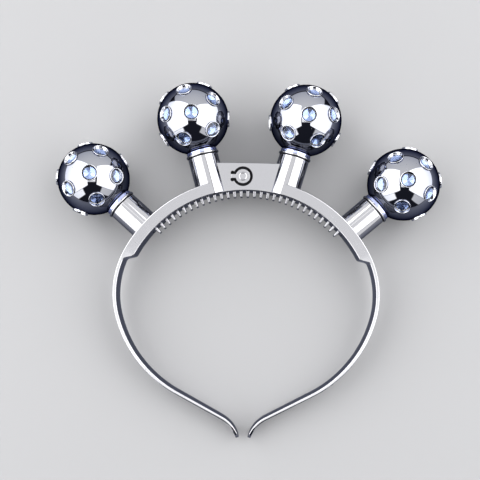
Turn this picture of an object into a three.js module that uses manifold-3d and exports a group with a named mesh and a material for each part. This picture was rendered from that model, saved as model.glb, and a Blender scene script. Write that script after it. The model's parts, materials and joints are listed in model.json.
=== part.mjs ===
// Light-up headband lying on a table: a springy open hoop whose front housing carries four mirror balls
// set with cut stones. Millimetres. The hoop is drawn in its own plane, X to the right, Y up and +Z out of
// its face, round the centre of the housing's arc. It is then tipped until the outer balls and both tips
// touch the table at Z = 0.
import * as THREE from 'three';
import { mergeVertices } from 'three/addons/utils/BufferGeometryUtils.js';
import Module from 'manifold-3d';

const wasm = await Module();
wasm.setup();

// Clearance between pieces that touch on the real object
const GAP = 0.3;

// Housing: a ring sector over the forehead, between these angles from the hoop's middle line
const HOUSING_RADIUS = 67.4;
const HOUSING_THICKNESS = 5.7;
const HOUSING_DEPTH = 15.4;
const HOUSING_HALF_ANGLE = 62;
const HOUSING_STEPS = 12;

// Legs: tangent runs down from the housing's end, an arc by its radius and turn in degrees (inwards is plus)
const LEG_RUNS = [
  { run: 'step to the strip', radius: 43.5, turn: 6, steps: 5 },
  { run: 'side', radius: 43.5, turn: 36.75, steps: 6 },
  { run: 'lower side', radius: 60, turn: 47.5, steps: 7 },
  { run: 'straight', length: 25, steps: 3 },
  { run: 'flared tip', radius: 15, turn: -46, steps: 7 },
];
const STEP_LENGTH = 4.5;
const STRIP_THICKNESS = 1.9;
const TIP_THICKNESS = 1.5;
const TIP_DEPTH = 9.5;
const TIP_ROUNDING = 5;
const TIP_END_SHARE = 0.4;
const EDGE_CHAMFER = 0.8;
const CHAMFER_SHARE = 0.28;

// Posts: round stems at these angles from the middle line, left to right
const POST_ANGLES = [-49, -16, 16, 49];
const POST_RADIUS = 7.5;
const POST_FOOT = 62;
const POST_TOP = 81.8;
const POST_SIDES = 24;

// Switch box: fills the space between the two middle posts, its face set back from the housing's
const BOX_TOP = 75.2;
const BOX_FOOT = 64;
const BOX_FACE_SETBACK = 3;
const BOX_HALF_ANGLE = POST_ANGLES[2];

// Button: a disc on a tongue, in a pocket that leaves a slot round it
const BUTTON = { x: -2.5, y: 68.65, radius: 3.5, thickness: 1, tongueReach: 5.5, tongueHalfWidth: 1 };
const BUTTON_SLOT = 1.35;
const BUTTON_RING = { inner: 1.35, outer: 2.15, height: 0.35 };
const POCKET_DEPTH = 2.2;
const BUTTON_SIDES = 16;

// Comb: a toothed strip in a groove along the inside of the housing
const COMB_HALF_ANGLE = 48.5;
const COMB_THICKNESS = 0.9;
const COMB_FRONT = 1.5;
const COMB_BACK = -5.5;
const COMB_STEPS = 18;
const TOOTH_COUNT = 31;
const TOOTH_PITCH_ANGLE = 3.1;
const TOOTH_LENGTH = 2.8;
const TOOTH_ROOT_WIDTH = 1.5;
const TOOTH_END_WIDTH = 1.1;
const TOOTH_SIDE_MARGIN = 0.4;

// Balls: hollow shells open at the neck, their centres on one arc
const BALL_ARC_RADIUS = 101.2;
const BALL_RADIUS = 17.8;
const BALL_WALL = 1.2;
const NECK_RADIUS = 4.5;
const BALL_SIDES = 18;
const BALL_RINGS = 10;
const BALL_INNER_RINGS = 5;

// Turn of each ball on its post, left to right, in degrees
const BALL_TWISTS = [4.7, 1.3, 2.6, -1.9];

// Stones: polar angle from the ball's face side, and turns from the direction that its post points in
const STONE_ROWS = [
  { row: 'face', polar: 0, turns: [0] },
  { row: 'face ring', polar: 44.8, turns: [-3, 69, 141, 213, 285] },
  { row: 'seam', polar: 90, turns: [33, 105, 249, 321] },
  { row: 'back ring', polar: 135.2, turns: [-3, 69, 141, 213, 285] },
  { row: 'back', polar: 180, turns: [0] },
];
const STONE = { rimRadius: 3.95, rimHeight: 0.3, tableRadius: 2.2, tableHeight: 0.5, sink: 1.1, sides: 8 };

// Collars: rings between post and ball
const COLLAR = { outer: 8.1, inner: 4, chamfer: 0.5, lipDrop: 0.6, sides: 16 };

const CHROME = new THREE.MeshStandardMaterial({ color: 0xd8d9de, roughness: 0.08, metalness: 1 });
const DARK_CHROME = new THREE.MeshStandardMaterial({ color: 0xb9bac2, roughness: 0.2, metalness: 1 });
const MIRROR = new THREE.MeshStandardMaterial({ color: 0xcfd6ea, roughness: 0.04, metalness: 1 });

const rad = THREE.MathUtils.degToRad;
const lerp = THREE.MathUtils.lerp;

// Closed mesh with shared vertices only, without the flat triangles that a turned shape has at its poles
function welded(geometry) {
  const bare = geometry.clone();
  bare.deleteAttribute('normal');
  bare.deleteAttribute('uv');
  const merged = mergeVertices(bare);
  const index = merged.index.array;
  const kept = [];
  for (let i = 0; i < index.length; i += 3) {
    const [a, b, c] = [index[i], index[i + 1], index[i + 2]];
    if (a !== b && b !== c && c !== a) kept.push(a, b, c);
  }
  merged.setIndex(kept);
  return merged;
}

function solidOf(geometry) {
  const mesh = welded(geometry);
  return new wasm.Manifold(new wasm.Mesh({
    numProp: 3,
    vertProperties: new Float32Array(mesh.attributes.position.array),
    triVerts: new Uint32Array(mesh.index.array),
  }));
}

function geometryOf(solid) {
  const mesh = solid.getMesh();
  const geometry = new THREE.BufferGeometry();
  geometry.setAttribute('position', new THREE.BufferAttribute(mesh.vertProperties, 3));
  geometry.setIndex(new THREE.BufferAttribute(mesh.triVerts, 1));
  geometry.computeVertexNormals();
  return geometry;
}

// Skin through equal rings of points, with a fan across the first and the last
function loft(rings) {
  const count = rings[0].length;
  const index = [];
  for (let r = 0; r < rings.length - 1; r += 1) {
    for (let i = 0; i < count; i += 1) {
      const a = r * count + i;
      const b = r * count + (i + 1) % count;
      index.push(a, b, b + count, a, b + count, a + count);
    }
  }
  const last = (rings.length - 1) * count;
  for (let i = 1; i < count - 1; i += 1) {
    index.push(0, i + 1, i);
    index.push(last, last + i, last + i + 1);
  }
  const geometry = new THREE.BufferGeometry();
  geometry.setAttribute('position', new THREE.Float32BufferAttribute(rings.flat(2), 3));
  geometry.setIndex(index);
  return geometry;
}

function slab(shape, low, high, curveSegments) {
  const options = { depth: high - low, bevelEnabled: false, curveSegments };
  return new THREE.ExtrudeGeometry(shape, options).translate(0, 0, low);
}

function turned(profile, sides) {
  return new THREE.LatheGeometry(profile.map(([x, y]) => new THREE.Vector2(x, y)), sides);
}

// Point at a radius and an angle from the middle line, in the hoop's plane
function onArc(radius, angle) {
  return [radius * Math.sin(rad(angle)), radius * Math.cos(rad(angle))];
}

// Ring sector between two radii, symmetrical about the middle line
function sector(inner, outer, halfAngle, steps) {
  const points = [];
  for (let i = 0; i <= steps; i += 1) points.push(onArc(outer, lerp(-halfAngle, halfAngle, i / steps)));
  for (let i = steps; i >= 0; i -= 1) points.push(onArc(inner, lerp(-halfAngle, halfAngle, i / steps)));
  return new THREE.Shape(points.map(([x, y]) => new THREE.Vector2(x, y)));
}

// Hoop

function legLength() {
  const lengthOf = ({ radius, turn, length }) => length ?? radius * rad(Math.abs(turn));
  return LEG_RUNS.reduce((sum, run) => sum + lengthOf(run), 0);
}

// Strip's thickness and depth at a distance down the leg
function legSize(distance) {
  const whole = legLength();
  const stepShare = THREE.MathUtils.smoothstep(distance, 0, STEP_LENGTH);
  const strip = lerp(STRIP_THICKNESS, TIP_THICKNESS, distance / whole);
  const past = Math.max(0, distance - (whole - TIP_ROUNDING)) / TIP_ROUNDING;
  const rounding = lerp(TIP_END_SHARE, 1, Math.sqrt(1 - past * past));
  return {
    thickness: lerp(HOUSING_THICKNESS, strip, stepShare),
    depth: lerp(HOUSING_DEPTH, TIP_DEPTH, distance / whole) * rounding,
  };
}

// Right half of the hoop's outer edge, from the middle line to the tip, each station with its heading
function halfHoop() {
  const stations = [];
  for (let i = 0; i <= HOUSING_STEPS; i += 1) {
    const angle = HOUSING_HALF_ANGLE * i / HOUSING_STEPS;
    const [x, y] = onArc(HOUSING_RADIUS, angle);
    stations.push({ x, y, heading: -rad(angle), thickness: HOUSING_THICKNESS, depth: HOUSING_DEPTH });
  }
  let { x, y, heading } = stations.at(-1);
  let distance = 0;
  for (const { radius, turn, length, steps } of LEG_RUNS) {
    const turnPerStep = rad(turn ?? 0) / steps;
    const arcPerStep = (length ?? radius * rad(Math.abs(turn))) / steps;
    const chord = turn ? 2 * radius * Math.sin(Math.abs(turnPerStep) / 2) : arcPerStep;
    for (let i = 0; i < steps; i += 1) {
      x += chord * Math.cos(heading - turnPerStep / 2);
      y += chord * Math.sin(heading - turnPerStep / 2);
      heading -= turnPerStep;
      distance += arcPerStep;
      stations.push({ x, y, heading, ...legSize(distance) });
    }
  }
  return stations;
}

// Chamfered rectangle across the strip
function hoopSection({ x, y, heading, thickness, depth }, side) {
  const chamfer = Math.min(EDGE_CHAMFER, thickness * CHAMFER_SHARE);
  const half = depth / 2;
  const inX = Math.sin(heading);
  const inY = -Math.cos(heading);
  const corners = [
    [0, chamfer - half], [0, half - chamfer], [chamfer, half], [thickness - chamfer, half],
    [thickness, half - chamfer], [thickness, chamfer - half], [thickness - chamfer, -half], [chamfer, -half],
  ];
  return corners.map(([inward, z]) => [side * (x + inward * inX), y + inward * inY, z]);
}

function hoop() {
  const right = halfHoop();
  const left = right.slice(1).reverse();
  return loft([
    ...left.map((station) => hoopSection(station, -1)),
    ...right.map((station) => hoopSection(station, 1)),
  ]);
}

// Headband moulding

const boxFace = HOUSING_DEPTH / 2 - BOX_FACE_SETBACK;
const innerRadius = HOUSING_RADIUS - HOUSING_THICKNESS;

function post(angle) {
  const geometry = new THREE.CylinderGeometry(POST_RADIUS, POST_RADIUS, POST_TOP - POST_FOOT, POST_SIDES);
  geometry.translate(0, (POST_TOP + POST_FOOT) / 2, 0);
  return geometry.rotateZ(-rad(angle));
}

// Wedge between the axes of the two middle posts
function boxWedge(foot, top) {
  const slope = Math.tan(rad(BOX_HALF_ANGLE));
  const corners = [[-foot * slope, foot], [foot * slope, foot], [top * slope, top], [-top * slope, top]];
  return new THREE.Shape(corners.map(([x, y]) => new THREE.Vector2(x, y)));
}

// Disc with its tongue to the left, grown by a margin all round but for the tongue's end
function buttonShape(margin, endMargin) {
  const { x, y, radius, tongueReach, tongueHalfWidth } = BUTTON;
  const outer = radius + margin;
  const half = tongueHalfWidth + margin;
  const meet = Math.asin(half / outer);
  const shape = new THREE.Shape();
  shape.moveTo(x - tongueReach - endMargin, y - half);
  shape.lineTo(x - outer * Math.cos(meet), y - half);
  shape.absarc(x, y, outer, Math.PI + meet, 3 * Math.PI - meet, false);
  shape.lineTo(x - tongueReach - endMargin, y + half);
  shape.closePath();
  return shape;
}

function headband() {
  const past = HOUSING_DEPTH;
  const recess = slab(boxWedge(innerRadius - past, BOX_TOP + past), boxFace, past);
  const box = slab(boxWedge(BOX_FOOT, BOX_TOP), -HOUSING_DEPTH / 2, boxFace);
  const grooveFloor = innerRadius + COMB_THICKNESS + GAP;
  const grooveAngle = COMB_HALF_ANGLE + THREE.MathUtils.radToDeg(GAP / innerRadius);
  const grooveShape = sector(innerRadius - past, grooveFloor, grooveAngle, COMB_STEPS);
  const groove = slab(grooveShape, COMB_BACK - GAP, COMB_FRONT + GAP);
  const pocket = slab(buttonShape(BUTTON_SLOT, GAP), boxFace - POCKET_DEPTH, past, BUTTON_SIDES);
  let body = solidOf(hoop()).subtract(solidOf(recess)).add(solidOf(box));
  for (const angle of POST_ANGLES) body = body.add(solidOf(post(angle)));
  return geometryOf(body.subtract(solidOf(groove)).subtract(solidOf(pocket)));
}

function button() {
  const { x, y, thickness } = BUTTON;
  const { inner, outer, height } = BUTTON_RING;
  const plate = slab(buttonShape(0, 0), boxFace - thickness, boxFace, BUTTON_SIDES);
  const ring = turned([
    [inner, -height], [outer, -height], [outer, height], [inner, height], [inner, -height],
  ], BUTTON_SIDES);
  ring.rotateX(Math.PI / 2).translate(x, y, boxFace);
  return geometryOf(solidOf(plate).add(solidOf(ring)));
}

// Comb

function tooth(angle) {
  const tip = innerRadius - TOOTH_LENGTH;
  const root = innerRadius + COMB_THICKNESS / 2;
  const rootHalf = TOOTH_ROOT_WIDTH / 2;
  const endHalf = TOOTH_END_WIDTH / 2;
  const corners = [[-rootHalf, root], [-endHalf, tip], [endHalf, tip], [rootHalf, root]];
  const shape = new THREE.Shape(corners.map(([x, y]) => new THREE.Vector2(x, y)));
  return slab(shape, COMB_BACK + TOOTH_SIDE_MARGIN, COMB_FRONT - TOOTH_SIDE_MARGIN).rotateZ(-rad(angle));
}

function comb() {
  const strip = sector(innerRadius, innerRadius + COMB_THICKNESS, COMB_HALF_ANGLE, COMB_STEPS);
  let body = solidOf(slab(strip, COMB_BACK, COMB_FRONT));
  for (let i = 0; i < TOOTH_COUNT; i += 1) {
    body = body.add(solidOf(tooth((i - (TOOTH_COUNT - 1) / 2) * TOOTH_PITCH_ANGLE)));
  }
  return geometryOf(body);
}

// Balls and collars, each drawn on the +Y axis of its post

// Round arc from one angle to another, measured from the neck, as a profile to turn round Y
function bowl(radius, from, to, steps) {
  const points = [];
  for (let i = 0; i <= steps; i += 1) {
    const angle = lerp(from, to, i / steps);
    points.push([radius * Math.sin(angle), -radius * Math.cos(angle)]);
  }
  return points;
}

function stone({ polar, turn }) {
  const { rimRadius, rimHeight, tableRadius, tableHeight, sink, sides } = STONE;
  const profile = [
    [0, -sink], [rimRadius, -sink], [rimRadius, rimHeight], [tableRadius, tableHeight], [0, tableHeight],
  ];
  const [right, up] = onArc(Math.sin(rad(polar)), turn);
  const direction = new THREE.Vector3(right, up, Math.cos(rad(polar)));
  const facing = new THREE.Quaternion().setFromUnitVectors(new THREE.Vector3(0, 1, 0), direction);
  const geometry = turned(profile, sides).applyQuaternion(facing);
  return geometry.translate(...direction.multiplyScalar(BALL_RADIUS).toArray());
}

function ball() {
  const inside = BALL_RADIUS - BALL_WALL;
  const shell = turned([
    ...bowl(inside, Math.PI, Math.asin(NECK_RADIUS / inside), BALL_INNER_RINGS),
    ...bowl(BALL_RADIUS, Math.asin(NECK_RADIUS / BALL_RADIUS), Math.PI, BALL_RINGS),
  ], BALL_SIDES);
  let body = solidOf(shell);
  for (const { polar, turns } of STONE_ROWS) {
    for (const turn of turns) body = body.add(solidOf(stone({ polar, turn })));
  }
  return geometryOf(body);
}

// Height on the ball's seat, a gap below the ball, at a distance from the post's axis
function seatHeight(distance) {
  return BALL_ARC_RADIUS - Math.sqrt((BALL_RADIUS + GAP) ** 2 - distance ** 2);
}

function collar() {
  const { outer, inner, chamfer, lipDrop, sides } = COLLAR;
  const foot = POST_TOP + GAP;
  const lip = outer - chamfer;
  const middle = (lip + inner) / 2;
  const profile = [
    [inner, foot], [lip, foot], [outer, foot + chamfer], [outer, seatHeight(lip) - lipDrop],
    [lip, seatHeight(lip)], [middle, seatHeight(middle)], [inner, seatHeight(inner)], [inner, foot],
  ];
  return turned(profile, sides);
}

// Tilt at which the outer balls and the legs' lower edges lie on one flat surface
function restTilt() {
  const ballHeight = BALL_ARC_RADIUS * Math.cos(rad(POST_ANGLES[0]));
  const reach = BALL_RADIUS + STONE.tableHeight;
  const tilts = halfHoop().filter(({ y }) => y < 0).map(({ y, depth }) => {
    const along = ballHeight - y;
    const half = depth / 2;
    return Math.asin(reach / Math.hypot(along, half)) - Math.atan(half / along);
  });
  return Math.min(...tilts);
}

function named(name, geometry, material) {
  const mesh = new THREE.Mesh(geometry, material);
  mesh.name = name;
  return mesh;
}

const hoopPlane = new THREE.Group();
hoopPlane.rotation.x = restTilt();
hoopPlane.add(named('headband', headband(), CHROME));
hoopPlane.add(named('comb', comb(), DARK_CHROME));
hoopPlane.add(named('button', button(), CHROME));

const ballGeometry = ball();
const collarGeometry = welded(collar());
POST_ANGLES.forEach((angle, i) => {
  const stem = new THREE.Group();
  stem.rotation.z = -rad(angle);
  const ballMesh = named(`ball_${i + 1}`, ballGeometry, MIRROR);
  ballMesh.position.y = BALL_ARC_RADIUS;
  ballMesh.rotation.y = rad(BALL_TWISTS[i]);
  stem.add(named(`collar_${i + 1}`, collarGeometry, CHROME), ballMesh);
  hoopPlane.add(stem);
});

// Origin at the middle of the box that the resting headband fills, on the table
const part = new THREE.Group();
part.add(hoopPlane);
part.updateMatrixWorld(true);
const extent = new THREE.Box3().setFromObject(part, true);
const middle = extent.getCenter(new THREE.Vector3());
hoopPlane.position.set(-middle.x, -middle.y, -extent.min.z);

export default part;
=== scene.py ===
"""Light-up headband: a chrome hair hoop with a press button and four mirror balls set with cut stones.

Each piece is drawn in metres in the hoop's own plane, X to the right, Y up and Z out of the face that carries
the button, round the centre of the housing's arc. HOOP_PLANE then lays it where the frame has it, at rest.
"""

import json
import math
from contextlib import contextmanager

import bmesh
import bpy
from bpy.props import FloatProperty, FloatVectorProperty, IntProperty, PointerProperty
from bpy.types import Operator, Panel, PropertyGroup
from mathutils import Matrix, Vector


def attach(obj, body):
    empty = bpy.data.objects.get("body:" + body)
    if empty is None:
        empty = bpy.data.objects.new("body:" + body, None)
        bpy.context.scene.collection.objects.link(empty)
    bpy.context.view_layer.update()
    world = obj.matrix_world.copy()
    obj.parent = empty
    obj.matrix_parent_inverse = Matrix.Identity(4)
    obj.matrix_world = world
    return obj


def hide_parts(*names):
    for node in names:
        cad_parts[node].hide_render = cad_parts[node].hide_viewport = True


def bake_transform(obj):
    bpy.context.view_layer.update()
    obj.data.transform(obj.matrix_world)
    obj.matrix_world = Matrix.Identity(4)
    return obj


bl_info = {
    "name": "Mirror Ball Headband",
    "version": (1, 0, 0),
    "blender": (4, 5, 0),
    "location": "3D View > Sidebar > Headband",
    "description": "Finishes a light-up hair hoop with mirror balls round its packed solids",
    "category": "Add Mesh",
}

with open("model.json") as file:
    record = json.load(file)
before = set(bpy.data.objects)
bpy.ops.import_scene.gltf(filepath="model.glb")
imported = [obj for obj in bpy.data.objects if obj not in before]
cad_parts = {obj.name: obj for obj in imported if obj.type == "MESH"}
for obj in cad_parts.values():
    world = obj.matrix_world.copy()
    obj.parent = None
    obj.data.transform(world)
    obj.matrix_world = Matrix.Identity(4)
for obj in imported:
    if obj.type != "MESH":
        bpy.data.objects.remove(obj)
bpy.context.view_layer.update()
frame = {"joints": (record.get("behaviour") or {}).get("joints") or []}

MM = 0.001

# The plane of the hoop, found from the button's hinge, whose axis runs up that plane
HINGE = frame["joints"][0]
HINGE_IN_PLANE = Vector((-8, 68.65, 4.2)) * MM
PLANE_TURN = Matrix.Rotation(math.atan2(HINGE["axis"][2], HINGE["axis"][1]), 4, "X")
PLANE_ORIGIN = Vector(HINGE["pos_m"]) - PLANE_TURN.to_3x3() @ HINGE_IN_PLANE
HOOP_PLANE = Matrix.Translation(PLANE_ORIGIN) @ PLANE_TURN

# Legs of the hoop, run by run from the housing's end, a turn inwards counted as plus
LEG_RUNS = (
    {"run": "step to the strip", "radius": 43.5 * MM, "turn": 6},
    {"run": "side", "radius": 43.5 * MM, "turn": 36.75},
    {"run": "lower side", "radius": 60 * MM, "turn": 47.5},
    {"run": "straight", "length": 25 * MM},
    {"run": "flared tip", "radius": 15 * MM, "turn": -46},
)

# Posts by their angles from the hoop's middle line, left to right
POST_ANGLES = (-49, -16, 16, 49)

# Turn of each ball on its post, left to right
BALL_TWISTS = (4.7, 1.3, 2.6, -1.9)

# Stones by their polar angle from the ball's face side, with their turns from the post's direction
STONE_ROWS = (
    {"row": "face", "polar": 0, "turns": (0,)},
    {"row": "face ring", "polar": 44.8, "turns": (-3, 69, 141, 213, 285)},
    {"row": "seam", "polar": 90, "turns": (33, 105, 249, 321)},
    {"row": "back ring", "polar": 135.2, "turns": (-3, 69, 141, 213, 285)},
    {"row": "back", "polar": 180, "turns": (0,)},
)

# Slope of the side lamps, from over the hoop down to the floor, as X and Z in metres
SLOPE_TOP = Vector((0.22, 0.87))
SLOPE_FOOT = Vector((0.80, 0.0))
FLOOR_RADIUS = SLOPE_FOOT.x

# Lamps on the slopes: their start as a share of the slope, their ends along Y,
# and the shares that fade at their sides, foot and top
SIDE_FADES, FRONT_FADES = (0.06, 0.03, 0.05), (0.12, 0.05, 0.12)
SIDE_LAMPS = (
    {"lamp": "left", "side": -1, "start": 0, "front": -0.50, "back": 0.62, "fades": SIDE_FADES},
    {"lamp": "right", "side": 1, "start": 0, "front": -0.46, "back": 0.56, "fades": SIDE_FADES},
    {"lamp": "front_left", "side": -1, "start": 0.32, "front": -1.00, "back": -0.44, "fades": FRONT_FADES},
    {"lamp": "front_right", "side": 1, "start": 0.32, "front": -0.95, "back": -0.40, "fades": FRONT_FADES},
)

# Lamp beyond the balls, from the floor up
BACK_LAMP = {"lamp": "back", "fades": (0.05, 0.05, 0.08)}
BACK_PLACE, BACK_TARGET, BACK_SIZE = (0, 0.91, 0.74), (0, 0.18, 0.01), (2.6, 2.0)

# Level lamps high over the hoop, with their ends along Y
LEVEL_LAMPS = (
    {"lamp": "overhead", "front": -0.68, "back": 0.45, "fades": (0.02, 0.02, 0.02)},
    {"lamp": "legs", "front": -0.75, "back": -0.10, "fades": (0.02, 0.02, 0.7)},
)
LEVEL_X, LEVEL_HEIGHT, LEVEL_WIDTH = -0.025, 2.0, 1.0

# Surroundings as the plating reflects them and as the camera sees them
DARK_STUDIO = (0.022, 0.024, 0.036)
PALE_BACKDROP = (0.82, 0.82, 0.83)

# Camera in the hoop's plane, and the width of its film in millimetres
CAMERA_IN_PLANE = Vector((5.9, 14.3, 442.7)) * MM
TARGET_IN_PLANE = Vector((-3.25, 37.24, 7.7)) * MM
UP_IN_PLANE = Vector((-0.020, 0.9998, 0))
FILM_WIDTH = 36

# Edges that turn by more than this are rounded, or stay sharp in the shading
SMOOTH_ANGLE = math.radians(34)

# Points nearer than this are merged: in a new mesh, and after joining and cutting
SAME_POINT = 1e-7
HAIR = 0.003 * MM

# Fineness of curves
ROUND_SIDES = 128
SMALL_SIDES = 48
ARC_STEPS = 96
CORNER_STEPS = 5

# Facets round a stone's tip, half as many as along its edge
FACETS = 8

# Share of the tip's depth that is left at its very end
TIP_END_SHARE = 0.4

# Most of a thin strip that one rounded edge takes
EDGE_SHARE = 0.36

# Span that a noise seldom leaves
NOISE_SPAN = (0.3, 0.7)

# Shade and depth of the pits in the plating, and how far its gloss varies
PIT_SHADE = 0.35
PIT_DEPTH = 0.02 * MM
GLOSS_SPREAD = 0.4


# Sizes and colours

def length(name, description, millimetres):
    return FloatProperty(
        name=name, description=description, default=millimetres * MM, unit="LENGTH", precision=5
    )


def angle(name, description, degrees):
    return FloatProperty(name=name, description=description, default=math.radians(degrees), subtype="ANGLE")


def colour(name, description, rgb):
    return FloatVectorProperty(
        name=name, description=description, default=rgb, subtype="COLOR", size=3, min=0, max=1
    )


def count(name, description, number):
    return IntProperty(name=name, description=description, default=number, min=1)


def brightness(name, description, level):
    return FloatProperty(name=name, description=description, default=level, min=0)


def settings_group(kind, name, description):
    return PointerProperty(type=kind, name=name, description=description)


class HoopSizes(PropertyGroup):
    """The hoop with its housing over the forehead."""

    housing_radius: length("Housing radius", "Outer radius of the crescent over the forehead", 67.4)
    housing_thickness: length("Housing thickness", "From the crescent's outer to its inner edge", 5.7)
    depth: length("Depth", "From the face to the back of the housing", 15.4)
    housing_reach: angle("Housing reach", "From the middle line to the housing's end", 62)
    step_length: length("Step length", "Along the curve from the housing down to the strip", 4.5)
    strip_thickness: length("Strip thickness", "Of the leg below the housing", 1.9)
    tip_thickness: length("Tip thickness", "Of the leg at its end", 1.5)
    tip_depth: length("Tip depth", "Of the leg at its end, from face to back", 9.5)
    tip_rounding: length("Tip rounding", "Length over which the tip's end is rounded", 5)
    edge_radius: length("Edge radius", "Rounding along the hoop's edges", 0.45)
    station_gap: length("Station gap", "Between two sections of the swept hoop", 1.1)


class PostSizes(PropertyGroup):
    """The round stems and the collars on them."""

    radius: length("Post radius", "Of each round stem", 7.5)
    foot: length("Post foot", "Where a stem starts, from the arc's centre", 62)
    top: length("Post top", "Where a stem ends, from the arc's centre", 81.8)
    top_edge: length("Post edge", "Rounding at a stem's top", 0.5)
    collar_radius: length("Collar radius", "Of the ring between stem and ball", 8.1)
    collar_bore: length("Collar bore", "Inner radius of the ring", 4)
    collar_lip: length("Collar lip", "Radius of the lip under the ball", 7.5)
    collar_waist: length("Collar waist", "Height of the ring below its waist", 1.0)
    collar_edge: length("Collar edge", "Rounding along the ring's edges", 0.35)
    seat_gap: length("Seat gap", "Clearance of the ring to stem and ball", 0.3)


class SwitchSizes(PropertyGroup):
    """The switch box and its press button."""

    box_top: length("Box top", "From the arc's centre", 75.2)
    box_foot: length("Box foot", "From the arc's centre, inside the housing", 64)
    box_setback: length("Box setback", "Of the box's face behind the housing's", 3)
    box_edge: length("Box edge", "Rounding along the box's edges", 0.4)
    button_x: length("Button X", "Of the disc's middle", -2.5)
    button_y: length("Button Y", "Of the disc's middle", 68.65)
    button_radius: length("Button radius", "Of the disc", 3.5)
    button_thickness: length("Button thickness", "Of the disc and its tongue", 1)
    button_edge: length("Button edge", "Rounding along the disc and its tongue", 0.14)
    tongue_reach: length("Tongue reach", "From the disc's middle to the hinge", 5.5)
    tongue_half_width: length("Tongue half width", "Of the bending tongue", 1)
    slot_width: length("Slot width", "Of the cut round the button", 1.35)
    slot_end_radius: length("Slot end radius", "Of the round ends of the cut", 0.95)
    root_gap: length("Root gap", "From the hinge to the end of the cut", 0.3)
    root_line: length("Root line", "Fine line between the tongue's root and the box", 0.02)
    pocket_depth: length("Pocket depth", "Of the cut", 2.2)
    ring_radius: length("Ring radius", "Of the raised ring on the disc", 1.75)
    ring_height: length("Ring height", "Of the raised ring on the disc", 0.38)


class CombSizes(PropertyGroup):
    """The toothed strip inside the housing."""

    reach: angle("Comb reach", "From the middle line to the strip's end", 48.5)
    thickness: length("Comb thickness", "Of the strip", 0.9)
    front: length("Comb front", "Height of the strip's front edge", 1.5)
    back: length("Comb back", "Height of the strip's back edge", -5.5)
    gap: length("Comb gap", "Clearance of the strip in its groove", 0.3)
    teeth: count("Teeth", "Along the strip", 31)
    pitch: angle("Pitch", "From tooth to tooth", 3.1)
    tooth_length: length("Tooth length", "From the housing's inner edge", 2.8)
    tooth_root: length("Tooth root", "Width of a tooth at the strip", 1.5)
    tooth_end: length("Tooth end", "Width of a tooth at its end", 1.1)
    tooth_margin: length("Tooth margin", "Of the strip beside a tooth", 0.4)
    tooth_slope: length("Tooth slope", "Drop of a tooth's front from its root to its end", 0.55)
    tooth_edge: length("Tooth edge", "Rounding along a tooth's edges", 0.26)
    strip_edge: length("Strip edge", "Rounding along the strip's edges", 0.16)


class BallSizes(PropertyGroup):
    """The mirror balls."""

    arc_radius: length("Ball arc", "From the arc's centre to a ball's middle", 101.2)
    radius: length("Ball radius", "Of each ball", 17.7)
    wall: length("Ball wall", "Thickness of the hollow ball", 1.2)
    neck: length("Neck radius", "Of the opening over the stem", 4.5)


class StoneSizes(PropertyGroup):
    """The cut stones and the cups that hold them."""

    rim_radius: length("Rim radius", "Outside of the bright rim", 3.95)
    rim_height: length("Rim height", "Of the rim over the ball", 0.35)
    cup_radius: length("Cup radius", "Of the cup's mouth", 3.68)
    cup_wall: length("Cup wall", "Thickness of the cup inside the ball", 0.4)
    seat_radius: length("Seat radius", "Of the cup where it holds the stone", 2.98)
    table_depth: length("Table depth", "Of the stone's flat top below the ball's skin", 1.15)
    belt: length("Girdle width", "Of the band round the stone", 0.12)
    back_depth: length("Back depth", "Of the stone's faceted back below the band", 0.45)
    knee_radius: length("Knee radius", "Where two back facets meet", 2.1)
    tip_radius: length("Tip radius", "Of the flat at the middle of the back", 0.6)
    foil: length("Foil thickness", "Of the foil behind the stone", 0.05)
    fit: length("Stone fit", "Clearance of the stone in its cup", 0.03)


class Finishes(PropertyGroup):
    """Colours of the plating, the stones and the floor."""

    chrome: colour("Chrome", "Plating of the hoop, the button and the collars", (0.46, 0.46, 0.48))
    chrome_edge: colour("Chrome edge", "Tint of the chrome at a flat angle", (0.40, 0.41, 0.46))
    comb: colour("Comb", "Satin plating of the comb", (0.40, 0.40, 0.42))
    mirror: colour("Mirror", "Plating of the balls", (0.82, 0.80, 0.72))
    lacquer: colour("Lacquer", "Thin dark lacquer over the balls' plating", (0.47, 0.49, 0.58))
    mirror_edge: colour("Mirror edge", "Tint of the balls' plating at a flat angle", (0.05, 0.08, 0.30))
    rim: colour("Rim", "Bright plating of the stones' cups and rims", (0.66, 0.67, 0.71))
    # Painted glints: a blue tint on each collar's seat under its ball, which the mirror ball shows as blue
    # glints round its neck
    painted_glint_tint: colour("Collar tint", "Bluish plating under each ball", (0.46, 0.50, 0.74))
    # Painted shade: near black for the faces of the cut round the button, standing in for the shade of the
    # hollow box under it, and for the underside of each collar, standing in for the shade in the gap over its
    # post
    inside: colour("Inside", "Bare plastic inside the switch box", (0.012, 0.012, 0.014))
    stone: colour("Stone", "Clear stone", (0.86, 0.92, 1.0))
    foil: colour("Foil", "Foil behind each stone", (0.275, 0.32, 0.485))
    floor: colour("Floor", "Plain pale floor", (0.29, 0.29, 0.296))
    reflected_floor: colour("Reflected floor", "The floor as the plating reflects it", (0.11, 0.117, 0.148))


class StageSettings(PropertyGroup):
    """The camera and the lamps."""

    lens: FloatProperty(
        name="Lens",
        description="Focal length on a 36 mm film",
        default=67.6,
        min=1,
        subtype="DISTANCE_CAMERA",
    )
    left_light: brightness("Left light", "Brightness on the left", 3.3)
    right_light: brightness("Right light", "Brightness on the right", 3.3)
    front_left_light: brightness("Front left light", "Brightness in front on the left", 2.6)
    front_right_light: brightness("Front right light", "Brightness in front on the right", 1.3)
    back_light: brightness("Back light", "Brightness beyond the balls", 1.3)
    overhead_light: brightness("Overhead light", "Brightness over the hoop", 1.3)
    legs_light: brightness("Legs light", "Brightness added over the legs", 0.9)


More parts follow.
